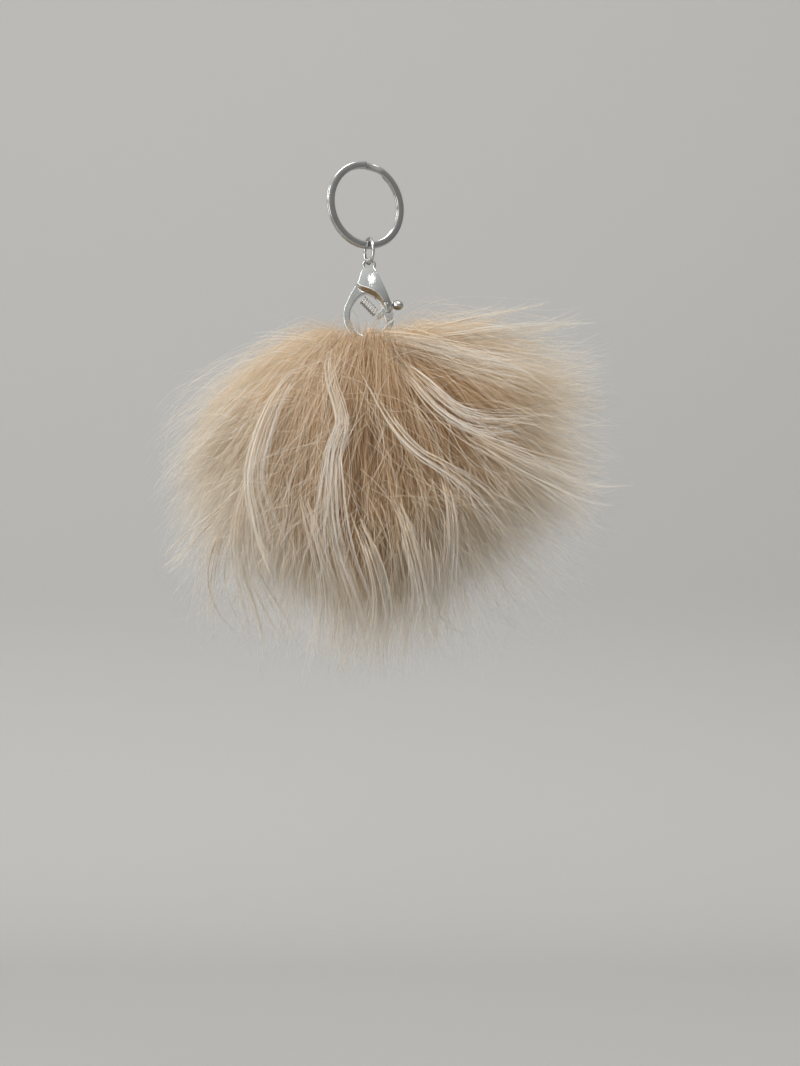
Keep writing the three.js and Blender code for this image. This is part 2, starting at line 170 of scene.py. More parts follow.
def make_world():
    """A pale ceiling that is brightest above and to the left, and a dim room below it."""
    world = bpy.data.worlds.new("studio")
    bpy.context.scene.world = world
    world.use_nodes = True
    tree = world.node_tree
    nodes = tree.nodes
    nodes.clear()
    place = add_node(nodes, "TexCoord")
    aim = add_node(nodes, "VectorMath")
    aim.operation = "DOT_PRODUCT"
    aim.inputs[1].default_value = Vector(WORLD_BRIGHT_SIDE).normalized()
    shift = add_node(nodes, "MapRange", From_Min=-1)
    ramp = ramp_node(nodes, WORLD_TONES)
    background = add_node(nodes, "Background", Strength=WORLD_STRENGTH)
    out = add_node(nodes, "OutputWorld")
    connect(
        tree,
        (place, "Generated", aim, 0),
        (aim, "Value", shift, "Value"),
        (shift, "Result", ramp, "Fac"),
        (ramp, "Color", background, "Color"),
        (background, "Background", out, "Surface"),
    )


# ---- mesh helpers


def unit(v):
    return v / np.maximum(np.linalg.norm(v, axis=-1, keepdims=True), 1e-9)


def shade(mesh, smooth=True):
    mesh.polygons.foreach_set("use_smooth", [smooth] * len(mesh.polygons))


def new_object(name, verts, faces, merge=0.0):
    """A smooth-shaded mesh object from points in millimetres."""
    mesh = bpy.data.meshes.new(name)
    mesh.from_pydata([tuple(v) for v in np.asarray(verts) * MM], [], faces)
    mesh.update()
    shade(mesh)
    obj = add_object(name, mesh)
    face_outwards(obj, merge)
    return obj


def grid_faces(rows, sides, base=0):
    """Quads between neighbouring rings of points, each ring closed on itself."""
    faces = []
    for i in range(rows - 1):
        a, b = base + i * sides, base + (i + 1) * sides
        for j in range(sides):
            k = (j + 1) % sides
            faces.append((a + j, a + k, b + k, b + j))
    return faces


def closed_tube_faces(rows, sides):
    caps = [tuple(range(sides - 1, -1, -1)), tuple((rows - 1) * sides + j for j in range(sides))]
    return grid_faces(rows, sides) + caps


def rim_faces(sides, inner):
    """Quads that join the first ring to another one that starts at a given point."""
    return [(j, (j + 1) % sides, inner + (j + 1) % sides, inner + j) for j in range(sides)]


def read_points(obj):
    points = np.empty(len(obj.data.vertices) * 3)
    obj.data.vertices.foreach_get("co", points)
    return points.reshape(-1, 3)


def sweep(name, centres, across, up, section, end_shrink):
    """A closed tube: a 2D section, or one for each ring, carried along the centres."""
    scale = np.ones((len(centres), 1, 1))
    scale[[0, -1]] = 1 - end_shrink
    section = section * scale
    rings = centres[:, None] + across[:, None] * section[..., :1] + up[:, None] * section[..., 1:]
    return new_object(name, rings.reshape(-1, 3), closed_tube_faces(*section.shape[:2]))


def face_outwards(obj, merge):
    """Joins points that are closer than merge, in metres, and turns every face outwards."""
    work = bmesh.new()
    work.from_mesh(obj.data)
    if merge:
        bmesh.ops.remove_doubles(work, verts=work.verts, dist=merge)
    bmesh.ops.recalc_face_normals(work, faces=work.faces)
    work.to_mesh(obj.data)
    work.free()


def frames_along(points):
    """Two directions across a path at each of its points, which don't twist along it."""
    tangent = unit(np.gradient(points, axis=0))
    across = [unit(np.cross(tangent[0], [0.1, 0.97, 0.2]))]
    for t in tangent[1:]:
        across.append(unit(across[-1] - t * (across[-1] @ t)))
    across = np.array(across)
    return across, np.cross(tangent, across)


def circle(radius, sides):
    angle = np.arange(sides) * 2 * math.pi / sides
    return np.stack([radius * np.cos(angle), radius * np.sin(angle)], axis=1)


def tube(name, points, radius, sides=16, end_shrink=0.35):
    return sweep(name, points, *frames_along(points), circle(radius, sides), end_shrink)


def length_along(points):
    return np.concatenate([[0], np.cumsum(np.linalg.norm(np.diff(points, axis=0), axis=1))])


def smooth_path(points, count):
    """A Catmull-Rom curve through the points, resampled evenly."""
    points = np.array(points, float)
    padded = np.vstack([2 * points[0] - points[1], points, 2 * points[-1] - points[-2]])
    t = np.linspace(0, 1, 24, endpoint=False)[:, None]
    dense = []
    for i in range(len(points) - 1):
        a, b, c, d = padded[i : i + 4]
        bent = (2 * a - 5 * b + 4 * c - d) * t * t + (3 * b - a - 3 * c + d) * t ** 3
        dense.append(0.5 * (2 * b + (c - a) * t + bent))
    dense = np.vstack([*dense, points[-1:]])
    length = length_along(dense)
    wanted = np.linspace(0, length[-1], count)
    return np.stack([np.interp(wanted, length, dense[:, k]) for k in range(3)], axis=1)


def apply_modifiers(obj):
    graph = bpy.context.evaluated_depsgraph_get()
    mesh = bpy.data.meshes.new_from_object(obj.evaluated_get(graph))
    old = obj.data
    obj.modifiers.clear()
    obj.data = mesh
    bpy.data.meshes.remove(old)
    shade(mesh)


def fan_faces(start, sides, tip):
    """Triangles that close a ring of points on one point."""
    return [(start + j, start + (j + 1) % sides, tip) for j in range(sides)]


def turned(name, profile, sides, place):
    """A body of revolution about Z from (radius, height) pairs that start and end on the axis."""
    profile = np.array(profile)
    start, middle, end = profile[0], profile[1:-1], profile[-1]
    angle = np.arange(sides) * 2 * math.pi / sides
    height = np.broadcast_to(middle[:, 1:], (len(middle), sides))
    rings = np.stack([middle[:, :1] * np.cos(angle), middle[:, :1] * np.sin(angle), height], axis=-1)
    verts = np.vstack([rings.reshape(-1, 3), (0, 0, start[1]), (0, 0, end[1])])
    tip = len(verts) - 2
    faces = grid_faces(len(middle), sides) + fan_faces(0, sides, tip) + fan_faces(tip - sides, sides, tip + 1)
    return new_object(name, verts + place, faces)


# ---- materials


def new_material(name):
    material = bpy.data.materials.new(name)
    material.use_nodes = True
    tree = material.node_tree
    return material, tree, tree.nodes, tree.nodes["Principled BSDF"]


def plated_metal(name, colour, rough, scratch_scale):
    """Bright metal with clouded gloss and hairline scratches."""
    material, tree, nodes, shader = new_material(name)
    set_inputs(shader, Metallic=1)
    place = add_node(nodes, "TexCoord")
    cloud = add_node(nodes, "TexNoise", Scale=420, Detail=5)
    tint = ramp_node(nodes, [(0.3, [c * 0.90 for c in colour]), (0.7, colour)])
    gloss = add_node(nodes, "MapRange", To_Min=rough * 0.7, To_Max=rough * 1.7)
    hairline = add_node(nodes, "TexNoise", Scale=scratch_scale, Detail=3)
    stretch = add_node(nodes, "Mapping", Scale=(1, 1, 14))
    bump = add_node(nodes, "Bump", Strength=0.045, Distance=0.2 * MM)
    connect(
        tree,
        (place, "Object", cloud, "Vector"),
        (cloud, "Fac", tint, "Fac"),
        (tint, "Color", shader, "Base Color"),
        (cloud, "Fac", gloss, "Value"),
        (gloss, "Result", shader, "Roughness"),
        (place, "Object", stretch, "Vector"),
        (stretch, "Vector", hairline, "Vector"),
        (hairline, "Fac", bump, "Height"),
        (bump, "Normal", shader, "Normal"),
    )
    return material


def soft_material(name, dark, light, scale, rough, bump_mm):
    """Cloth, thread, skin or filling: a mottled colour over a fine fibrous bump."""
    material, tree, nodes, shader = new_material(name)
    set_inputs(shader, Roughness=rough, Sheen_Weight=0.3)
    place = add_node(nodes, "TexCoord")
    noise = add_node(nodes, "TexNoise", Scale=scale, Detail=6)
    tint = ramp_node(nodes, [(0.35, dark), (0.65, light)])
    bump = add_node(nodes, "Bump", Strength=0.6, Distance=bump_mm * MM)
    connect(
        tree,
        (place, "Object", noise, "Vector"),
        (noise, "Fac", tint, "Fac"),
        (tint, "Color", shader, "Base Color"),
        (noise, "Fac", bump, "Height"),
        (bump, "Normal", shader, "Normal"),
    )
    return material


def fur_material(name, tones, root_dark):
    """Hair: the UV map gives each strand its tone across, and darkens it towards its root."""
    material, tree, nodes, shader = new_material(name)
    set_inputs(shader, Roughness=0.48, Specular_IOR_Level=0.35)
    uv = add_node(nodes, "UVMap")
    uv.uv_map = "OFBake"
    split = add_node(nodes, "SeparateXYZ")
    tone = ramp_node(nodes, tones)
    along = ramp_node(nodes, [(0.0, root_dark), (0.4, [0.97] * 3), (0.8, [1.0] * 3)])
    mix = add_node(nodes, "Mix")
    mix.data_type = "RGBA"
    mix.blend_type = "MULTIPLY"
    set_inputs(mix, Factor=1)
    through = add_node(nodes, "BsdfTranslucent")
    both = add_node(nodes, "MixShader", Fac=0.5)
    out = nodes["Material Output"]
    connect(
        tree,
        (uv, "UV", split, "Vector"),
        (split, "X", tone, "Fac"),
        (split, "Y", along, "Fac"),
        (tone, "Color", mix, "A"),
        (along, "Color", mix, "B"),
        (mix, "Result", shader, "Base Color"),
        (mix, "Result", through, "Color"),
        (shader, "BSDF", both, 1),
        (through, "BSDF", both, 2),
        (both, "Shader", out, "Surface"),
    )
    return material


wire_metal = plated_metal("nickel_wire", (0.53, 0.53, 0.515), 0.09, 2600)
cast_metal = plated_metal("nickel_cast", (0.54, 0.55, 0.53), 0.10, 1500)
steel_metal = plated_metal("spring_steel", (0.62, 0.61, 0.58), 0.22, 3000)


def finish_piece(obj, body, slot, material, *nodes):
    obj.data.materials.clear()
    obj.data.materials.append(material)
    if nodes:
        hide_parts(*nodes)
    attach(obj, body)


def make_stage():
    """A pale floor that curves up into a pale wall well behind the object, in metres."""
    floor_z, wall_y, wall_top, bend, half = -0.42, 0.75, 2.6, 0.25, 6.0
    profile = [(-half, floor_z), (wall_y - bend, floor_z)]
    for angle in np.linspace(0, math.pi / 2, 13)[1:]:
        profile.append((wall_y - bend + bend * math.sin(angle), floor_z + bend * (1 - math.cos(angle))))
    profile.append((wall_y, wall_top))
    verts = [(x, y, z) for y, z in profile for x in (-half, half)]
    faces = [(2 * i, 2 * i + 1, 2 * i + 3, 2 * i + 2) for i in range(len(profile) - 1)]
    stage = new_object("backdrop", np.array(verts) / MM, faces)
    material, _, _, shader = new_material("backdrop")
    set_inputs(shader, Base_Color=(0.42, 0.415, 0.405, 1), Roughness=0.9)
    stage.data.materials.append(material)


bpy.context.scene.view_settings.view_transform = "Standard"
make_camera()
make_world()
make_stage()
area_light("window", (-1.15, -0.75, 0.70), OBJECT_MIDDLE, (0.5, 0.7), 8.5, (1.0, 0.99, 0.97))
area_light("ceiling", (0.39, -0.65, 1.05), OBJECT_MIDDLE, (0.6, 0.5), 9, (1.0, 0.99, 0.97))
area_light("lamp", (-0.06, -1.25, 0.46), OBJECT_MIDDLE, (0.07, 0.10), 0.35, (1.0, 0.98, 0.95))
area_light("fill", (-0.80, -1.15, -0.12), (0.0, 0.0, -0.12), (1.3, 0.55), 5, (1.0, 0.985, 0.97))

# ---- split ring and link


def crowned_section(half_x, half_y, squareness, count):
    """A flat wire's section with rounded faces: a superellipse."""
    angle = np.arange(count) * 2 * math.pi / count
    power = 2 / squareness
    x = half_x * np.sign(np.cos(angle)) * np.abs(np.cos(angle)) ** power
    y = half_y * np.sign(np.sin(angle)) * np.abs(np.sin(angle)) ** power
    return np.stack([x, y], axis=1)


def make_split_ring():
    """A flat wire wound twice round, whose turns cross over between its two ends."""
    inset, crossover, split = math.radians(16), math.radians(12), math.radians(80)
    middle = RING_INNER + RING_WIRE_WIDTH / 2
    turned_by = np.linspace(inset, 4 * math.pi - inset, 460)
    t = np.clip((turned_by - 2 * math.pi + crossover) / (2 * crossover), 0, 1)
    across = t * t * (3 - 2 * t) - 0.5
    angle = split + turned_by
    step = RING_TURN_THICKNESS + RING_TURN_GAP
    zero = np.zeros_like(angle)
    outward = np.stack([np.cos(angle), zero, np.sin(angle)], axis=1)
    centres = middle * outward + np.stack([zero, step * across, zero - RING_INNER], axis=1)
    axial = np.tile([0.0, -1.0, 0.0], (len(angle), 1))
    section = crowned_section(RING_TURN_THICKNESS / 2, RING_WIRE_WIDTH / 2, RING_SQUARENESS, 36)
    ring = sweep("split_ring_wire", centres, axial, outward, section, 0.12)
    turn = Matrix.Rotation(RING_YAW, 4, "Z") @ Matrix.Rotation(RING_LEAN, 4, "Y")
    ring.data.transform(turn)
    finish_piece(ring, "ring", "nickel_wire", wire_metal, "split_ring")


def make_link():
    """An oval wire link whose two ends meet with a narrow gap."""
    gap = math.radians(5)
    angle = np.linspace(gap / 2, 2 * math.pi - gap / 2, 150)
    zero = np.zeros_like(angle)
    local = np.stack([zero, LINK_HALF_WIDTH * np.cos(angle), LINK_HALF_HEIGHT * np.sin(angle)], axis=1)
    turn = np.array(Matrix.Rotation(RING_YAW, 3, "Z"))
    centre = joint_place("clasp_swing") + (0, 0, LINK_HALF_HEIGHT)
    link = tube("oval_link", local @ turn.T + centre, LINK_WIRE_RADIUS, 20, 0.12)
    finish_piece(link, "link", "nickel_wire", wire_metal, "link_ring")


# ---- clasp
# Outlines are drawn in X and Z from the centre of the clasp's eye.
HOOK_CENTRE_Z, HOOK_HALF_WIDTH, HOOK_HALF_HEIGHT, HOOK_BAR = -16.4, 8.1, 8.6, 2.1
PIVOT = (5.2, -12.4)
PIN_RADIUS = 0.5
EYE_RADIUS, EYE_WIRE_RADIUS = 1.75, 0.51
BODY_HALF_DEPTH, ARM_HALF_DEPTH, SLOT_HALF_DEPTH, LEVER_HALF_DEPTH = 2.9, 1.7, 1.3, 1.05


def bezier(*control, count=18):
    """Points after the first along a quadratic or cubic Bezier curve."""
    control = np.array(control, float)
    points = []
    for t in np.linspace(0, 1, count + 1)[1:]:
        level = control
        while len(level) > 1:
            level = level[:-1] * (1 - t) + level[1:] * t
        points.append(tuple(level[0]))
    return points


def arc(half_width, half_height, start, end, count):
    angle = np.linspace(start, end, count)
    return [(half_width * math.cos(a), HOOK_CENTRE_Z + half_height * math.sin(a)) for a in angle]


HEAD_LOWER_EDGE = ((-4, -6.8), (-2.8, -9.6), (2.6, -8.4), (5.3, -15))
HEAD_OUTLINE = [
    (-1.7, -1.2), (-2.5, -2.4),
    *bezier((-2.5, -2.4), (-2.8, -4), (-3.2, -5.4), (-4, -6.8)),
    *bezier(*HEAD_LOWER_EDGE, count=30),
    *bezier((5.3, -15), (6, -15.8), (7.6, -15.2), (7.5, -13.6)),
    *bezier((7.5, -13.6), (7, -11.4), (4.4, -5.6), (2.5, -2.4), count=26),
    (1.7, -1.2),
]


def hook_outline():
    """The arm and the hook below it, which is open where the gate closes it."""
    shoulder, throat = math.radians(148), math.radians(151)
    outer = arc(HOOK_HALF_WIDTH, HOOK_HALF_HEIGHT, shoulder, 2 * math.pi - 0.13, 90)
    inner = arc(HOOK_HALF_WIDTH - HOOK_BAR, HOOK_HALF_HEIGHT - HOOK_BAR, 2 * math.pi - 0.44, throat, 80)
    return [
        (-1.2, -5), (-3.4, -6),
        *bezier((-3.4, -6), (-5.7, -8.7), outer[0])[:-1],
        *outer, *inner,
        *bezier(inner[-1], (-4.2, -11.2), (-2.6, -9.8)),
        (0.6, -8.6),
    ]


SLOT_OUTLINE = [
    (0.6, -17.5), (0.6, -12.2),
    *bezier((0.6, -12.2), (1.4, -9.6), (4.4, -9.6), (5.4, -9.6)),
    (9, -9.6), (9, -17.5),
]
GATE_OUTLINE = [
    (6.2, -12.6), (7.35, -14.6),
    *bezier((7.35, -14.6), (8.05, -15.8), (7.75, -16.9)),
    (5.5, -18.6),
    *bezier((5.5, -18.6), (5.2, -16.8), (3.9, -14.6)),
]
LUG_OUTLINE = [
    (4.6, -13.4), (3.9, -14.5), (3.35, -15), (1.9, -16.6), (2.7, -17.4),
    *bezier((2.7, -17.4), (4.3, -16.8), (5.4, -15.4)),
]
STEM_OUTLINE = [(5, -11.6), (8.4, -11.9), (8.6, -13.6), (5.4, -13.9)]
LEVER_PLATES = ((GATE_OUTLINE, LEVER_HALF_DEPTH), (LUG_OUTLINE, LEVER_HALF_DEPTH), (STEM_OUTLINE, 0.9))


def plate(outline, half_thickness):
    """A flat plate, in the clasp's own place, whose outline is in X and Z."""
    count = len(outline)
    verts = [(x, y, z) for y in (-half_thickness, half_thickness) for x, z in outline]
    faces = [tuple(range(count)), tuple(range(2 * count - 1, count - 1, -1))]
    faces += [(i, (i + 1) % count, count + (i + 1) % count, count + i) for i in range(count)]
    return new_object("tool", np.array(verts) + EYE, faces)


def moved_to(place):
    return Matrix.Translation(Vector(np.array(place) * MM))


def solid_ball(half, place, turn=0.0, segments=96):
    work = bmesh.new()
    size = Matrix.Diagonal((*[h * MM for h in half], 1))
    bmesh.ops.create_uvsphere(work, u_segments=segments, v_segments=segments // 2, radius=1,
                              matrix=moved_to(EYE + place) @ Matrix.Rotation(turn, 4, "Y") @ size)
    return from_bmesh(work)


def rod(radius, length, sides, matrix):
    work = bmesh.new()
    bmesh.ops.create_cone(work, cap_ends=True, segments=sides, radius1=radius * MM, radius2=radius * MM,
                          depth=length * MM, matrix=matrix)
    return from_bmesh(work)


# From a body drawn about Z at the origin to the lever's rivet, which lies along Y.
ON_PIVOT = moved_to(EYE + (PIVOT[0], 0, PIVOT[1])) @ Matrix.Rotation(math.pi / 2, 4, "X")


def from_bmesh(work):
    mesh = bpy.data.meshes.new("tool")
    work.to_mesh(mesh)
    work.free()
    return add_object("tool", mesh)


def combine(base, operation, tool):
    boolean = base.modifiers.new("cut", "BOOLEAN")
    boolean.operation = operation
    boolean.solver = "EXACT"
    boolean.object = tool
    apply_modifiers(base)
    bpy.data.objects.remove(tool)


def soften(obj, rounds):
    smooth = obj.modifiers.new("soften", "SMOOTH")
    smooth.factor = 0.5
    smooth.iterations = rounds
    apply_modifiers(obj)


def as_casting(obj, name, voxel, rounds):
    """Remeshes a piece finely and rounds its edges, as polished castings are."""
    obj.name = name
    obj.data.name = name
    remesh = obj.modifiers.new("remesh", "REMESH")
    remesh.mode = "VOXEL"
    remesh.voxel_size = voxel * MM
    apply_modifiers(obj)
    soften(obj, rounds)


def eye_torus():
    angle = np.linspace(0, 2 * math.pi, 97)[:-1]
    outward = np.stack([np.cos(angle), 0 * angle, np.sin(angle)], axis=1)
    ring = EYE_RADIUS * outward
    section = circle(EYE_WIRE_RADIUS, 24)
    count, sides = len(ring), len(section)
    verts = ring[:, None] + outward[:, None] * section[:, :1] + np.array([0, 1, 0]) * section[:, 1:]
    faces = grid_faces(count, sides) + rim_faces(sides, (count - 1) * sides)
    return new_object("tool", verts.reshape(-1, 3) + EYE, faces)


def undercut(obj, edge, thickness, width, slope):
    """Bevels a casting's faces down to a thinner edge along a line drawn in X and Z."""
    edge = np.array(edge) * MM + EYE[[0, 2]] * MM
    place = read_points(obj)
    away = np.linalg.norm(place[:, None, [0, 2]] - edge[None], axis=2).min(axis=1)
    limit = np.where(away < width * MM, thickness * MM + slope * away, 1.0)
    place[:, 1] = np.clip(place[:, 1], -limit, limit)
    obj.data.vertices.foreach_set("co", place.ravel())
    obj.data.update()


def make_clasp_body():
    """A domed head with a hollow below it, an arm that ends in a hook, and a round eye."""
    body = plate(HEAD_OUTLINE, BODY_HALF_DEPTH)
    combine(body, "INTERSECT", solid_ball((8.4, BODY_HALF_DEPTH, 12), (1.2, 0, -9.2), segments=128))
    arm = plate(hook_outline(), ARM_HALF_DEPTH)
    combine(arm, "DIFFERENCE", plate(SLOT_OUTLINE, SLOT_HALF_DEPTH))
    combine(body, "UNION", arm)
    combine(body, "UNION", eye_torus())
    combine(body, "DIFFERENCE", plate(SLOT_OUTLINE, SLOT_HALF_DEPTH))
    combine(body, "DIFFERENCE", rod(PIN_RADIUS + 0.05, 8, 48, ON_PIVOT))
    as_casting(body, "clasp_casting", 0.115, 3)
    undercut(body, bezier(*HEAD_LOWER_EDGE, count=80), thickness=1.55, width=1.5, slope=0.9)
    soften(body, 6)
    finish_piece(body, "clasp", "nickel_cast", cast_metal, "clasp_body")


def make_clasp_lever():
    """The gate, the spring's lug and the thumb knob, on one hub."""
    lever = rod(1.5, 2 * LEVER_HALF_DEPTH, 48, ON_PIVOT)
    for outline, half_depth in LEVER_PLATES:
        combine(lever, "UNION", plate(outline, half_depth))
    combine(lever, "UNION", solid_ball((1.9, 1.6, 1.6), (9.1, 0, -12.8), math.radians(12), 64))
    combine(lever, "DIFFERENCE", rod(PIN_RADIUS + 0.08, 6, 48, ON_PIVOT))
    as_casting(lever, "clasp_thumb_lever", 0.1, 5)
    finish_piece(lever, "lever", "nickel_cast", cast_metal, "clasp_lever")


def make_clasp_pin():
    """A rivet with chamfered ends, across the clasp."""
    half = 2.15
    profile = [(0, -half), (0.3, -half + 0.02), (0.42, -half + 0.07), (0.5, -half + 0.2),
               (0.5, half - 0.2), (0.42, half - 0.07), (0.3, half - 0.02), (0, half)]
    pin = turned("clasp_rivet", profile, 32, np.zeros(3))
    pin.data.transform(ON_PIVOT)
    finish_piece(pin, "clasp", "spring_steel", steel_metal, "clasp_pin")


def make_lever_spring():
    """A coil spring with closed ends, drawn at rest between its seat in the clasp and the lever's lug."""
    seat, push = EYE + (-2.15, 0, -10.95), EYE + (2.2, 0, -15.35)
    along = push - seat
    length = np.linalg.norm(along)
    along /= length
    inset, turns, coil_radius, wire_radius, closed = 0.4, 7.0, 1.25, 0.22, 0.07
    t = np.linspace(0, 1, 300)
    angle = 2 * math.pi * turns * t
    side = np.array([0.0, 1.0, 0.0])
    up = np.cross(along, side)
    rise = inset + (length - 2 * inset) * np.clip((t - closed) / (1 - 2 * closed), 0, 1)
    path = seat + along * rise[:, None]
    path += coil_radius * (side * np.cos(angle)[:, None] + up * np.sin(angle)[:, None])
    closed_end = np.clip(closed - t, 0, None) - np.clip(t - 1 + closed, 0, None)
    path -= along * (closed_end * 4.5)[:, None]
    spring = tube("lever_coil_spring", path, wire_radius, 12, 0.2)
    finish_piece(spring, "clasp", "spring_steel", steel_metal, "lever_spring")
    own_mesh(spring)


make_split_ring()
make_link()
make_clasp_body()
make_clasp_lever()
make_clasp_pin()
make_lever_spring()

# ---- elastic loop, knot and button
elastic_material = soft_material("elastic", (0.36, 0.26, 0.17), (0.50, 0.38, 0.27), 1800, 0.8, 0.12)
thread_material = soft_material("thread", (0.55, 0.44, 0.30), (0.72, 0.60, 0.45), 2500, 0.85, 0.05)
CORD_RADIUS, CORD_WRAP, CORD_ASIDE = 0.9, 3.1, 1.35
BUTTON_TOP = node_box("anchor_button")[1][2]
knot_low, knot_high = node_box("loop_knot")


def loop_points():
    """From the knot up through the neck, over the hook's bar, and back down."""
    low = knot_high[2] + 0.3 - CHAIN[2]
    neck = NECK_TOP - CHAIN[2]
    rise = [(CORD_ASIDE, low), (CORD_ASIDE, (low + neck) / 2 - 2), (CORD_ASIDE, (low + neck) / 2 + 1.5),
            (CORD_ASIDE + 0.15, neck - 0.4), (CORD_WRAP - 0.35, -1.9)]
    over = [(CORD_WRAP * math.cos(a), CORD_WRAP * math.sin(a)) for a in np.linspace(math.pi, 0, 9)]
    pairs = [(-y, z) for y, z in rise] + over + rise[::-1]
    return np.array([(0, y, z) for y, z in pairs]) + CHAIN


def make_loop_cord():
    """A braided elastic: the round cord is ribbed by its crossing yarns."""
    path = smooth_path(loop_points(), 420)
    sides, yarns, pitch = 20, 6, 2.4
    angle = np.arange(sides) * 2 * math.pi / sides
    phase = 2 * math.pi * length_along(path)[:, None] / pitch
    rib = np.abs(np.sin(yarns / 2 * angle + phase)) + np.abs(np.sin(yarns / 2 * angle - phase))
    radius = CORD_RADIUS * (0.88 + 0.07 * rib)
    cord = sweep("elastic_loop", path, *frames_along(path), circle(1, sides) * radius[..., None], 0)
    finish_piece(cord, "loop", "elastic", elastic_material, "loop_cord")


def make_loop_knot():
    """An overhand knot, drawn as a trefoil."""
    t = np.linspace(0, 2 * math.pi, 180)
    trefoil = np.stack([np.sin(t) + 2 * np.sin(2 * t), np.cos(t) - 2 * np.cos(2 * t), -np.sin(3 * t)], axis=1)
    centre = (knot_low + knot_high) / 2
    path = trefoil * (0.58, 0.58, 1.15) + centre
    knot = tube("elastic_knot", path[:-3], 0.78, 14, 0.2)
    finish_piece(knot, "loop", "elastic", elastic_material, "loop_knot")


def make_button():
    """A dished two-hole button."""
    top, thick, radius, hole = BUTTON_TOP, 1.6, 6.0, 1.12
    edge = [(1.2, -thick), (0.5, -thick + 0.15), (0.1, -thick + 0.5), (0, -thick / 2), (0.1, -0.4),
            (0.5, -0.08), (0.9, 0), (1.4, -0.1), (1.9, -0.4)]
    profile = [(0, -thick), *[(radius - inwards, height) for inwards, height in edge], (0, -0.45)]
    centre = np.array([CHAIN[0], CHAIN[1], top])
    disc = turned("button_disc", profile, 72, centre)
    for side in (-CORD_ASIDE, CORD_ASIDE):
        combine(disc, "DIFFERENCE", rod(hole, 8, 32, moved_to(centre + (0, side, 0))))
    material = soft_material("button", (0.72, 0.66, 0.55), (0.84, 0.80, 0.70), 160, 0.3, 0.01)
    shade(disc.data, smooth=False)
    finish_piece(disc, "loop", "button", material, "anchor_button")


def make_gather_thread():
    """A drawstring wound round the pelt's neck."""
    t, turns = np.linspace(0, 1, 260), 3
    angle = 2 * math.pi * turns * t
    low = node_box("gather_thread")[0]
    radius = NECK_RADIUS + 0.5
    path = np.stack([radius * np.cos(angle), radius * np.sin(angle), 0.35 + 2.4 * t], axis=1)
    path += (CHAIN[0], CHAIN[1], low[2])
    wound = tube("drawstring_thread", path, 0.34, 10)
    finish_piece(wound, "pom", "thread", thread_material, "gather_thread")


make_loop_cord()
make_loop_knot()
make_button()
make_gather_thread()

# ---- pelt and filling


def pleated_profile(radius, neck, top, thickness):
    """Radius and height pairs down the outside of the pelt's bag, and back up its inside."""
    outside = [(neck, top), (neck, top - 4.2)]
    start = math.asin((neck + 2.5) / radius)
    outside += [(radius * math.sin(a), radius * math.cos(a)) for a in np.linspace(start, math.pi, 40)[:-1]]
    inside = [(max(r - thickness, 0.4), z) for r, z in outside]
    return outside, inside


def make_hide():
    """The skin side of the pelt: a round bag drawn into pleats at its neck."""
    sides, pleats = 120, 15
    top = NECK_TOP - BALL[2]
    outside, inside = pleated_profile(HIDE_RADIUS, NECK_RADIUS, top, HIDE_THICKNESS)
    radius, height = np.array(outside + inside).T[..., None]
    angle = np.arange(sides) * 2 * math.pi / sides
    fold = 0.32 * np.exp(-np.maximum(0, top - height) / 9)
    radius = radius + fold * np.cos(pleats * angle)
    height = np.broadcast_to(height, radius.shape)
    verts = np.stack([radius * np.cos(angle), radius * np.sin(angle), height], axis=-1).reshape(-1, 3)
    rows, layer = len(outside), len(verts) // 2
    faces = rim_faces(sides, layer)
    for base, tip in ((0, 2 * layer), (layer, 2 * layer + 1)):
        faces += grid_faces(rows, sides, base) + fan_faces(base + layer - sides, sides, tip)
    bottom = [(0, 0, -HIDE_RADIUS), (0, 0, -HIDE_RADIUS + HIDE_THICKNESS)]
    bag = new_object("pelt_skin", np.vstack([verts, bottom]) + BALL, faces)
    material = soft_material("hide", (0.60, 0.47, 0.32), (0.74, 0.62, 0.46), 300, 0.75, 0.15)
    finish_piece(bag, "pom", "hide", material, "hide_shell")


def make_filling():
    """Polyester fibrefill: a lumpy ball with a pocket in its top for the button and the knot."""
    radius = HIDE_RADIUS - HIDE_THICKNESS - 0.5
    pocket = 6.9
    floor = node_box("fibrefill_core")[0][2]
    low = knot_low[2] - 1 - BALL[2]
    start = math.asin(pocket / radius)
    profile = [(0, low), (pocket - 0.8, low + 0.1), (pocket, low + 0.9)]
    profile += [(pocket, radius * math.cos(start) * f + low * (1 - f)) for f in (0.3, 0.6, 0.9)]
    down = np.linspace(start + 0.03, math.pi, 48)[:-1]
    profile += [(radius * math.sin(a), radius * math.cos(a)) for a in down]
    profile.append((0, floor - BALL[2] + 0.2))
    ball = turned("fibrefill_ball", profile, 96, BALL)
    co = read_points(ball)
    local = co / MM - BALL
    lumps = sum(np.sin(local @ rng.normal(0, 0.35, 3) + rng.uniform(0, 6)) for _ in range(9)) / 9
    outer = np.linalg.norm(local, axis=1) > radius * 0.93
    co -= (local / radius) * (np.abs(lumps) * 0.9 * outer)[:, None] * MM
    ball.data.vertices.foreach_set("co", co.ravel())
    material = soft_material("fibrefill", (0.80, 0.79, 0.76), (0.95, 0.94, 0.92), 900, 0.95, 0.4)
    finish_piece(ball, "pom", "fibrefill", material, "fibrefill_core")


make_hide()
make_filling()

# ---- hair
# Each strand leaves the pelt along its normal and bends over towards a tip on the hair's outside.
UP = np.array([0.0, 0.0, 1.0])
TOP_ANGLE = math.radians(12)
STRAND_SIDES = 3
TONE_COLUMNS = 64
CLUMPS = 420
# Combed tips stay within this much of the dense hair's box, and locks and strays within a bit more.
TIP_ROOM = 10.0
LOCK_ROOM = 2.0
FUR_LEAST, FUR_MOST = fur_low - TIP_ROOM, fur_high + TIP_ROOM
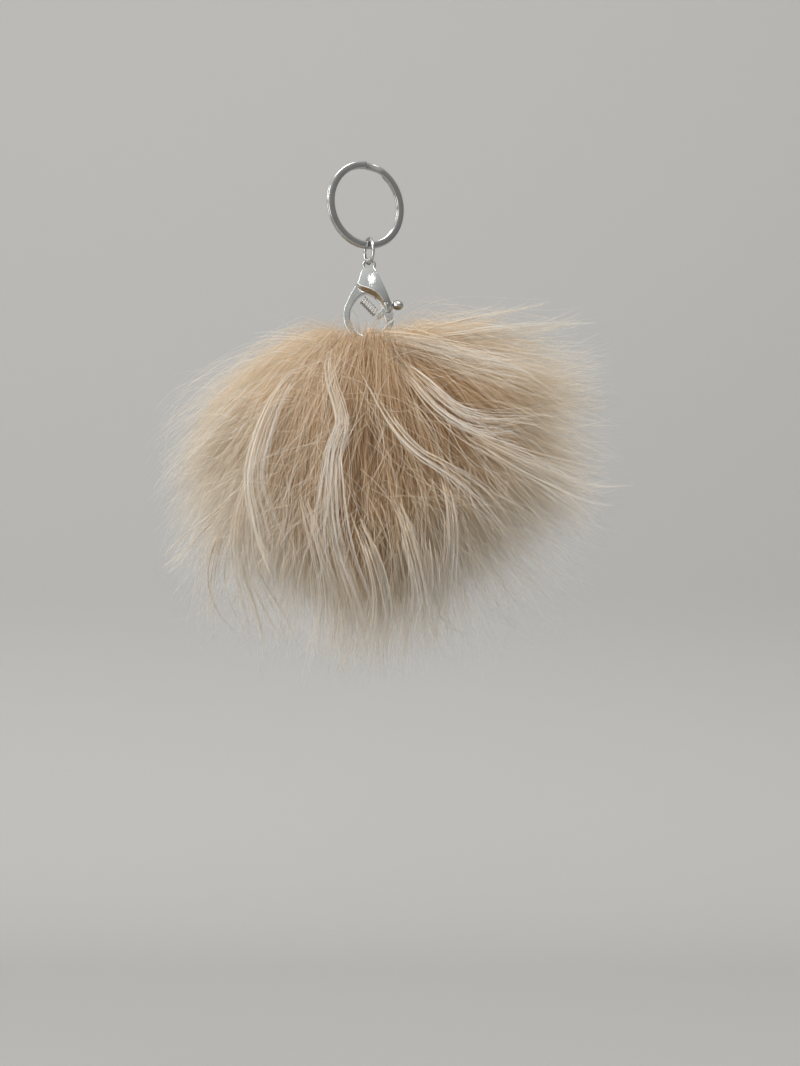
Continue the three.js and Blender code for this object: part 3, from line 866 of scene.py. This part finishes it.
# Where the hair reaches further out than its even shape: direction, how much, how narrowly.
TUFTS = [
    ((0.84, -0.10, 0.50), 0.40, 6),
    ((0.98, -0.15, -0.12), 0.22, 9),
    ((-0.93, -0.10, 0.30), 0.12, 7),
    ((-0.85, -0.10, -0.52), 0.16, 22),
    ((-0.99, -0.10, 0.00), 0.06, 9),
    ((0.02, -0.10, -0.99), 0.14, 7),
    ((0.70, -0.20, -0.68), -0.08, 12),
]


def directions(down, around):
    """Unit vectors at an angle down from +Z and an angle round from +X."""
    return np.stack([np.sin(down) * np.cos(around), np.sin(down) * np.sin(around), np.cos(down)], axis=-1)


def spread_roots(count, jitter):
    """Directions spread evenly over the pelt, below its gathered neck."""
    i = np.arange(count) + 0.5
    height = math.cos(TOP_ANGLE) - (1 + math.cos(TOP_ANGLE)) * i / count
    around = math.pi * (1 + 5 ** 0.5) * i
    points = directions(np.arccos(height), around)
    return unit(points + rng.normal(0, jitter, points.shape))


def outside_distance(heading):
    """How far the hair's outside is from the ball's centre in each direction."""
    start = (BALL - FUR_CENTRE) / FUR_HALF
    step = heading / FUR_HALF
    a = np.sum(step * step, axis=-1)
    b = np.sum(step * start, axis=-1)
    c = np.sum(start * start) - 1
    distance = (-b + np.sqrt(b * b - a * c)) / a
    for tuft, more, narrowness in TUFTS:
        near = np.exp(narrowness * (heading @ unit(np.array(tuft)) - 1))
        distance = distance * (1 + more * near)
    return distance


def comb(roots, reach, wander, rise, steps):
    """The path of each strand, as (strand, step, xyz)."""
    down = np.arccos(np.clip(roots[:, 2], -1, 1))
    around = np.arctan2(roots[:, 1], roots[:, 0])
    right, left = np.clip(np.cos(around), 0, 1), np.clip(-np.cos(around), 0, 1)
    front = np.clip(-np.sin(around), 0, 1)
    droop = np.radians(52 + 24 * front - 24 * right + 3 * left)
    tip_down = math.pi - (math.pi - down) * (1 - droop / (math.pi - TOP_ANGLE))
    heading = unit(directions(tip_down, around) + wander)
    start = BALL + roots * (HIDE_RADIUS - 0.3)
    distance = reach * outside_distance(heading)
    ahead = np.where(heading > 0, FUR_MOST - BALL, BALL - FUR_LEAST) / np.maximum(np.abs(heading), 1e-6)
    room = ahead.min(axis=1) * rng.uniform(0.93, 1.0, len(roots))
    tip = BALL + heading * np.minimum(distance, room)[:, None]
    length = np.linalg.norm(tip - start, axis=1)[:, None]
    gravity = (0.45 + 0.25 * front - 0.40 * right)[:, None]
    rise = rise + 0.20 * np.clip(roots[:, 2], 0, 1) ** 3
    leaving = start + roots * length * rise[:, None]
    arriving = tip - unit(heading * (1 - gravity) - UP * gravity + 0.6 * wander) * length * 0.36
    s = np.linspace(0, 1, steps + 1)[None, :, None]
    return (
        start[:, None] * (1 - s) ** 3
        + leaving[:, None] * 3 * s * (1 - s) ** 2
        + arriving[:, None] * 3 * s * s * (1 - s)
        + tip[:, None] * s ** 3
    )


clump_roots = spread_roots(CLUMPS, 0.04)
clump_wander = rng.normal(0, 0.13, (CLUMPS, 3))
clump_tone = rng.uniform(-1, 1, CLUMPS)
clump_rise = rng.uniform(0.20, 0.36, CLUMPS)
clump_reach = rng.uniform(-0.05, 0.05, CLUMPS)


def wave(path, low, high):
    """Bends each strand a little from side to side, more towards its tip."""
    count, rings = path.shape[:2]
    s = np.linspace(0, 1, rings)
    chord = path[:, -1] - path[:, 0]
    side = unit(np.cross(chord, rng.normal(0, 1, (count, 3))))
    lift = unit(np.cross(side, chord))
    phase = rng.uniform(0, 2 * math.pi, (count, 2))
    turns = rng.uniform(0.7, 2.0, count)[:, None]
    size = rng.uniform(low, high, count)[:, None] * s
    swing = np.sin(2 * math.pi * turns * s + phase[:, :1]) * size
    sway = np.sin(1.4 * math.pi * turns * s + phase[:, 1:]) * size
    return path + side[:, None] * swing[..., None] + lift[:, None] * sway[..., None]


def strands(count, steps, reach, gather, loose, waviness, shorter_low=0.0):
    """Combed hair, gathered into tapering clumps. Returns the paths and each strand's clump."""
    roots = spread_roots(count, 0.02)
    clump = (roots @ clump_roots.T).argmax(axis=1)
    own_reach = rng.uniform(*reach, count) + clump_reach[clump]
    own_reach -= shorter_low * np.clip(-roots[:, 2], 0, 1)
    wander = clump_wander[clump] + rng.normal(0, loose, (count, 3))
    rise = clump_rise[clump] + rng.normal(0, 0.03, count)
    own = comb(roots, own_reach, wander, rise, steps)
    middle = np.full(CLUMPS, sum(reach) / 2) + clump_reach
    guides = comb(clump_roots, middle, clump_wander, clump_rise, steps)
    s = np.linspace(0, 1, steps + 1)
    pull = (rng.uniform(*gather, count))[:, None, None] * (s ** 1.3)[None, :, None]
    return wave(own * (1 - pull) + guides[clump] * pull, *waviness), clump


def within_room(path):
    """Which strands stay inside the room that the longest hair has."""
    return ((path > FUR_LEAST - LOCK_ROOM) & (path < FUR_MOST + LOCK_ROOM)).all(axis=(1, 2))


def build_hair(name, path, radius, tone, material):
    """One mesh of closed three-sided strands that taper to their tips."""
    count, rings = path.shape[:2]
    tangent = unit(np.gradient(path, axis=1))
    helper = unit(np.cross(tangent[:, rings // 2], rng.normal(0, 1, (count, 3))))
    side = unit(helper[:, None] - tangent * np.sum(helper[:, None] * tangent, axis=2, keepdims=True))
    lift = np.cross(tangent, side)
    s = np.linspace(0, 1, rings)
    taper = np.clip(0.8 + s, 0, 1) * (1 - s) ** 0.6 + 0.03
    body = rings - 1
    corners = []
    for k in range(STRAND_SIDES):
        angle = 2 * math.pi * k / STRAND_SIDES
        offset = math.cos(angle) * side + math.sin(angle) * lift
        corners.append(path + offset * (radius[:, None] * taper)[..., None])
    verts = np.stack(corners, axis=2)[:, :body].reshape(count, -1, 3)
    verts = np.concatenate([verts, path[:, -1:]], axis=1)
    per = body * STRAND_SIDES + 1
    faces, face_uv = [], []

    def add_face(*corners):
        """A triangle from (side, ring) corners; the ring after the last one is the tip."""
        faces.append([min(STRAND_SIDES * i + k % STRAND_SIDES, per - 1) for k, i in corners])
        face_uv.append([(k / STRAND_SIDES, i / body) for k, i in corners])

    for i in range(body - 1):
        for k in range(STRAND_SIDES):
            add_face((k, i), (k + 1, i), (k + 1, i + 1))
            add_face((k, i), (k + 1, i + 1), (k, i + 1))
    for k in range(STRAND_SIDES):
        add_face((k, body - 1), (k + 1, body - 1), (STRAND_SIDES / 2, body))
    faces.append((2, 1, 0))
    face_uv.append(((0, 0), (0.5, 0.01), (1, 0)))
    faces, face_uv = np.array(faces), np.array(face_uv, float)
    index = (faces[None] + (np.arange(count) * per)[:, None, None]).reshape(-1)
    column = np.clip((tone * TONE_COLUMNS).astype(int), 0, TONE_COLUMNS - 1)
    uv = np.broadcast_to(face_uv, (count, *face_uv.shape)).copy()
    uv[..., 0] = (column[:, None, None] + 0.1 + 0.8 * uv[..., 0]) / TONE_COLUMNS
    uv[..., 1] = 0.01 + 0.98 * uv[..., 1]
    total = len(index) // 3
    mesh = bpy.data.meshes.new(name)
    mesh.vertices.add(count * per)
    mesh.vertices.foreach_set("co", (verts * MM).astype(np.float32).ravel())
    mesh.loops.add(len(index))
    mesh.loops.foreach_set("vertex_index", index.astype(np.int32))
    mesh.polygons.add(total)
    mesh.polygons.foreach_set("loop_start", np.arange(0, len(index), 3, dtype=np.int32))
    mesh.update(calc_edges=True)
    shade(mesh)
    layer = mesh.uv_layers.new(name="OFBake")
    layer.data.foreach_set("uv", uv.astype(np.float32).ravel())
    mesh.validate()
    finish_piece(add_object(name, mesh), "pom", "fur", material, "fur_pile")


UNDER_TONES = [(0.0, (0.70, 0.48, 0.25)), (0.3, (0.87, 0.69, 0.46)),
               (0.65, (0.93, 0.84, 0.70)), (1.0, (0.96, 0.93, 0.88))]
GUARD_TONES = [(0.0, (0.82, 0.62, 0.39)), (0.35, (0.94, 0.83, 0.67)),
               (0.75, (0.97, 0.93, 0.86)), (1.0, (0.985, 0.965, 0.93))]
under_material = fur_material("fur_under", UNDER_TONES, (0.97, 0.91, 0.80))
guard_material = fur_material("fur_guard", GUARD_TONES, (0.96, 0.90, 0.82))
# Where the underfur is darker and more amber on the front: x and z, how wide, and how much. Some spots are
# the hair's own deeper colour, and those beneath and beside the locks are painted shade.
AMBER_AND_SHADE_SPOTS = [
    ((0, -78), 20, 0.20),
    ((24, -76), 9, 0.36),
    ((-3, -104), 8, 0.42),
    ((20, -92), 9, 0.15),
    ((-18, -92), 8, 0.12),
]
UNDERFUR_COUNT, GUARD_COUNT, CROWN_COUNT, STRAY_COUNT = 64000, 7000, 5200, 420


def in_pieces(name, path, radius, tone, material, pieces):
    """Splits the strands over several meshes, each of them a share of the whole ball."""
    for i in range(pieces):
        build_hair(f"{name}_{i + 1}", path[i::pieces], radius[i::pieces], tone[i::pieces], material)


def amber_and_shade(path):
    """How much darker and more amber each strand is, from where its middle lies: partly the hair's own
    colour, partly painted shade beneath and beside the locks.
    """
    middle = path[:, path.shape[1] // 2]
    deeper_tone = np.zeros(len(path))
    for (x, z), width, amount in AMBER_AND_SHADE_SPOTS:
        away = (middle[:, 0] - x) ** 2 + (middle[:, 2] - z) ** 2
        deeper_tone += amount * np.exp(-away / (2 * width ** 2))
    return deeper_tone * (middle[:, 1] < BALL[1])


def tone_from_place(path, painted_low_lift):
    """Paler towards the sides and the bottom, from where each strand's middle lies. The paler bottom is
    partly the hair's own paler colour and partly painted light that lifts the shade under the ball; the amber
    spots take some painted shade off again.
    """
    middle = path[:, path.shape[1] // 2]
    aside = np.abs(middle[:, 0] - CHAIN[0]) / FUR_HALF[0]
    low = np.clip((BALL[2] - middle[:, 2]) / FUR_HALF[2], 0, 1)
    return 0.34 + 0.50 * aside ** 0.8 + painted_low_lift * low - amber_and_shade(path)


def make_underfur():
    """The dense coat, whose paths also tell where the front surface is."""
    count = UNDERFUR_COUNT
    path, clump = strands(count, 4, (0.62, 0.99), (0.08, 0.42), 0.13, (0.2, 0.9), shorter_low=0.16)
    tone = tone_from_place(path, 0.50) + 0.05 * clump_tone[clump] + rng.normal(0, 0.05, count)
    in_pieces("underfur", path, rng.uniform(0.045, 0.072, count), tone, under_material, 8)
    return path


def make_guard_hair():
    """Longer, paler hairs that reach out of the coat."""
    count = GUARD_COUNT
    path, clump = strands(count, 8, (0.84, 1.28), (0.10, 0.88), 0.18, (0.3, 1.8))
    tone = tone_from_place(path, 0.40) + 0.13 * clump_tone[clump] + rng.normal(0, 0.12, count)
    in_pieces("guard_hair", path, rng.uniform(0.035, 0.07, count), tone, guard_material, 2)


WOOL_DEPTH = 0.24


def make_wool():
    """The dense wool that the hair stands in, close to the pelt."""
    rows, columns = 90, 160
    down = np.linspace(TOP_ANGLE, math.pi, rows)
    around = np.arange(columns) * 2 * math.pi / columns
    heading = directions(*np.meshgrid(down, around, indexing="ij"))
    depth = np.clip((down - TOP_ANGLE) / math.radians(50), 0, 1)[:, None]
    depth = WOOL_DEPTH * depth * depth * (3 - 2 * depth)
    reach = HIDE_RADIUS + 0.6 + (outside_distance(heading) - HIDE_RADIUS) * depth
    lumps = sum(np.sin(heading @ rng.normal(0, 14, 3) + rng.uniform(0, 6)) for _ in range(12)) / 4
    reach = reach + lumps * 1.6 * depth
    reach[-1] = reach[-1].mean()
    skin = BALL + heading * reach[..., None]
    inner = BALL + heading * (HIDE_RADIUS + 0.3)
    layer = rows * columns
    faces = grid_faces(rows, columns) + grid_faces(rows, columns, layer) + rim_faces(columns, layer)
    verts = np.concatenate([skin.reshape(-1, 3), inner.reshape(-1, 3)])
    wool = new_object("wool", verts, faces, merge=1e-6)
    material = soft_material("wool", (0.50, 0.34, 0.19), (0.70, 0.52, 0.33), 900, 0.95, 0.8)
    finish_piece(wool, "pom", "fur", material, "fur_pile")


def make_crown_fluff():
    """Hair round the neck that stands up past the hook's bar before it falls outwards."""
    count = CROWN_COUNT
    down, around = rng.uniform(TOP_ANGLE, math.radians(34), count), rng.uniform(0, 2 * math.pi, count)
    roots = directions(down, around)
    reach = rng.uniform(0.45, 0.95, count)
    rise = rng.uniform(0.25, 0.52, count) + 0.25 * (rng.uniform(0, 1, count) > 0.93)
    path = comb(roots, reach, rng.normal(0, 0.21, (count, 3)), rise, 6)
    # Darker at half strength where the spots of deeper colour and painted shade lie.
    tone = 0.50 - 0.5 * amber_and_shade(path) + rng.normal(0, 0.10, count)
    in_pieces("crown_fluff", wave(path, 0.2, 1.4), rng.uniform(0.035, 0.06, count), tone, under_material, 1)


def front_surface(path):
    """A function of x and z that gives how far forward the dense hair comes there."""
    cell, size = 3.0, 60
    low = FUR_CENTRE - cell * size / 2

    def cells(place, axis):
        return np.clip(((place - low[axis]) / cell).astype(int), 0, size - 1)

    points = path[path[..., 1] < BALL[1]]
    points = points[np.argsort(points[:, 1])[::-1]]
    depth = np.full((size, size), BALL[1])
    depth[cells(points[:, 0], 0), cells(points[:, 2], 2)] = points[:, 1]
    for _ in range(3):
        wide = np.pad(depth, 1, mode="edge")
        depth = (wide[:-2, 1:-1] + wide[2:, 1:-1] + wide[1:-1, :-2] + wide[1:-1, 2:] + 2 * depth) / 6
    return lambda x, z: depth[cells(x, 0), cells(z, 2)]


# The long pale locks on the front: points (x from the chain's axis, z), strands, width, tip's fan.
LOCKS = {
    "left": ([(-20, -66), (-26.5, -78), (-31.5, -98),
              (-29.5, -111), (-26.5, -121), (-21.5, -131)], 66, 2.8, 2.6),
    "middle": ([(-10, -60), (-11, -68), (-8.5, -77), (-6, -84),
                (-9, -92), (-10, -104), (-11, -115), (-10, -138)], 70, 2.4, 3.4),
    "middle_low": ([(-9, -86), (-8.5, -99), (-8, -110), (-6, -122), (-2, -136), (2, -160)], 76, 3.6, 6.0),
    "sweep": ([(-2, -66), (2, -73), (8, -84), (16, -93), (25, -98), (36, -107), (50, -124)], 28, 2.2, 6.0),
    "right_low": ([(21, -97), (23.5, -106), (24.5, -116),
                   (24, -128), (23, -141), (24, -157)], 84, 1.9, 10.0),
    "upper_right": ([(0, -56), (8, -58), (19, -61.5), (32, -66), (47, -70), (58, -74)], 110, 3.8, 4.6),
    "right": ([(10, -66), (15, -72), (21, -79), (27, -83.5),
               (34, -86), (43, -86.5), (54, -87)], 64, 3.2, 8.0),
    "right_fringe": ([(26, -86), (38, -93), (52, -99), (64, -103), (78, -100)], 90, 4.4, 7.0),
    "right_bent": ([(36, -92), (48, -98), (58, -104), (66, -110), (70, -118)], 36, 3.0, 5.0),
    "low_left": ([(-30, -96), (-35, -112), (-35, -126), (-31, -142), (-27, -162)], 64, 3.2, 9.0),
    "low_middle": ([(-18, -104), (-13, -120), (-9.5, -136), (-11, -150), (-13, -165)], 84, 2.6, 10.0),
    "low_right": ([(8, -106), (12, -120), (15, -134), (14, -148), (18, -162)], 56, 3.2, 10.0),
    "top_right": ([(14, -56), (30, -54), (46, -51), (60, -47), (73, -43)], 50, 5.0, 5.0),
    "top_left": ([(-12, -60), (-22, -57), (-33, -55.5), (-44, -57)], 16, 4.0, 5.0),
    "low_far_left": ([(-40, -112), (-45, -128), (-45, -142), (-41, -154)], 36, 3.4, 9.0),
    "low_centre": ([(-4, -108), (2, -122), (5, -137), (4, -151), (3, -166)], 84, 2.4, 10.0),
    "low_edge": ([(18, -114), (20, -130), (17, -145), (21, -160)], 40, 3.4, 9.0),
    "far_left": ([(-30, -68), (-40, -78), (-50, -87), (-60, -94)], 26, 4.0, 5.0),
    "left_point": ([(-38, -106), (-47, -114), (-56, -122), (-65, -129)], 36, 2.6, 1.0),
}
LOCK_STEPS = 13


def along_route(path, start, stop):
    """Each strand's own stretch of the lock's route."""
    rings = path.shape[1]
    s = np.linspace(0, 1, rings)
    place = np.clip(start[:, None] + (stop - start)[:, None] * s, 0, 1) * (rings - 1)
    i = np.clip(place.astype(int), 0, rings - 2)
    f = (place - i)[..., None]
    row = np.arange(len(path))[:, None]
    return path[row, i] * (1 - f) + path[row, i + 1] * f


def make_lock(name, route, count, width, fan, surface):
    """A lock of long hair that lies on the front and parts into wisps towards its tip."""
    line = smooth_path(np.array([(CHAIN[0] + x, 0.0, z) for x, z in route]), LOCK_STEPS)
    depth = surface(line[:, 0], line[:, 2])
    line[:, 1] = np.convolve(np.pad(depth, 2, mode="edge"), np.ones(5) / 5, mode="valid") - 1.6
    line[:2, 1] += (5, 2.5)
    for i in range(1, LOCK_STEPS):
        slope = 0.8 * np.linalg.norm(line[i, [0, 2]] - line[i - 1, [0, 2]])
        line[i, 1] = np.clip(line[i, 1], line[i - 1, 1] - 2 * slope, line[i - 1, 1] + slope)
    s = np.linspace(0, 1, LOCK_STEPS)
    spread = width * (0.4 + 0.6 * np.sin(math.pi * np.clip(1.1 * s, 0, 1)) ** 0.8)
    spread += 2 * fan * np.clip(s - 0.4, 0, 1) ** 1.6
    across, up = frames_along(line)
    wisps = max(5, count // 4)
    wisp = rng.randint(0, wisps, count)
    loose = np.where(rng.uniform(0, 1, count) < 0.2, 5.0, 1.0)[:, None]
    drift = rng.normal(0, 0.65, (wisps, 2))[wisp] + rng.normal(0, 0.06, (count, 2)) * loose
    place = rng.uniform(-1, 1, (wisps, 2))[wisp] + rng.normal(0, 0.05, (count, 2)) * loose
    place[:, 1] *= 0.5
    bend = place[:, None] + drift[:, None] * (s ** 2)[None, :, None]
    path = line + (bend[..., :1] * across + bend[..., 1:] * up) * spread[None, :, None]
    middles = np.tile(line, (wisps, 1, 1))
    path += (wave(middles, 0.4, 1.7) - middles)[wisp]
    start = rng.uniform(0, 0.22, wisps)[wisp] + rng.uniform(0, 0.05, count)
    stop = rng.uniform(0.70, 0.95, wisps)[wisp] + rng.uniform(0, 0.05, count)
    path = wave(along_route(path, start, stop), 0.02, 0.25)
    tone = rng.normal(0.82, 0.12, wisps)[wisp] + rng.normal(0, 0.12, count)
    radius = rng.uniform(0.055, 0.115, count)
    kept = within_room(path)
    build_hair("lock_" + name, path[kept], radius[kept], tone[kept], guard_material)


def make_strays(surface):
    """Single long hairs that cross over the rest of the front, but not over the clasp."""
    count, steps = STRAY_COUNT, 10
    x = rng.uniform(-40, 42, count)
    z = -60 - 0.35 * np.abs(x) - rng.uniform(0, 55, count)
    aside, down = x * 0.9 + rng.normal(0, 9, count), (z - CHAIN[2]) * 0.55 + rng.normal(0, 9, count)
    outward = unit(np.stack([aside, down], axis=1)) * rng.uniform(18, 42, count)[:, None]
    curve = rng.normal(0, 0.22, count)
    s = np.linspace(0, 1, steps + 1)
    bow = np.stack([-outward[:, 1], outward[:, 0]], axis=1) * curve[:, None]
    flat = np.stack([x, z], axis=1)[:, None] + outward[:, None] * s[:, None]
    flat = flat + bow[:, None] * (4 * s * (1 - s))[:, None]
    lift = rng.uniform(0.4, 4.0, count)[:, None] * np.sin(math.pi * np.clip(0.15 + 0.85 * s, 0, 1)) ** 0.6
    path = np.stack([flat[..., 0], surface(flat[..., 0], flat[..., 1]) - lift, flat[..., 1]], axis=2)
    for _ in range(2):
        path[:, 1:-1, 1] = (path[:, :-2, 1] + path[:, 1:-1, 1] + path[:, 2:, 1]) / 3
    tone = rng.uniform(0.4, 1.0, count)
    over_clasp = ((np.abs(path[..., 0]) < 13) & (path[..., 2] > -60)).any(axis=1)
    kept = within_room(path) & ~over_clasp
    radius = rng.uniform(0.045, 0.075, int(kept.sum()))
    build_hair("stray_hairs", path[kept], radius, tone[kept], guard_material)


underfur = make_underfur()
make_guard_hair()
make_crown_fluff()
make_wool()
surface = front_surface(underfur)
for lock, (route, count, width, fan) in LOCKS.items():
    make_lock(lock, route, count, width, fan, surface)
make_strays(surface)
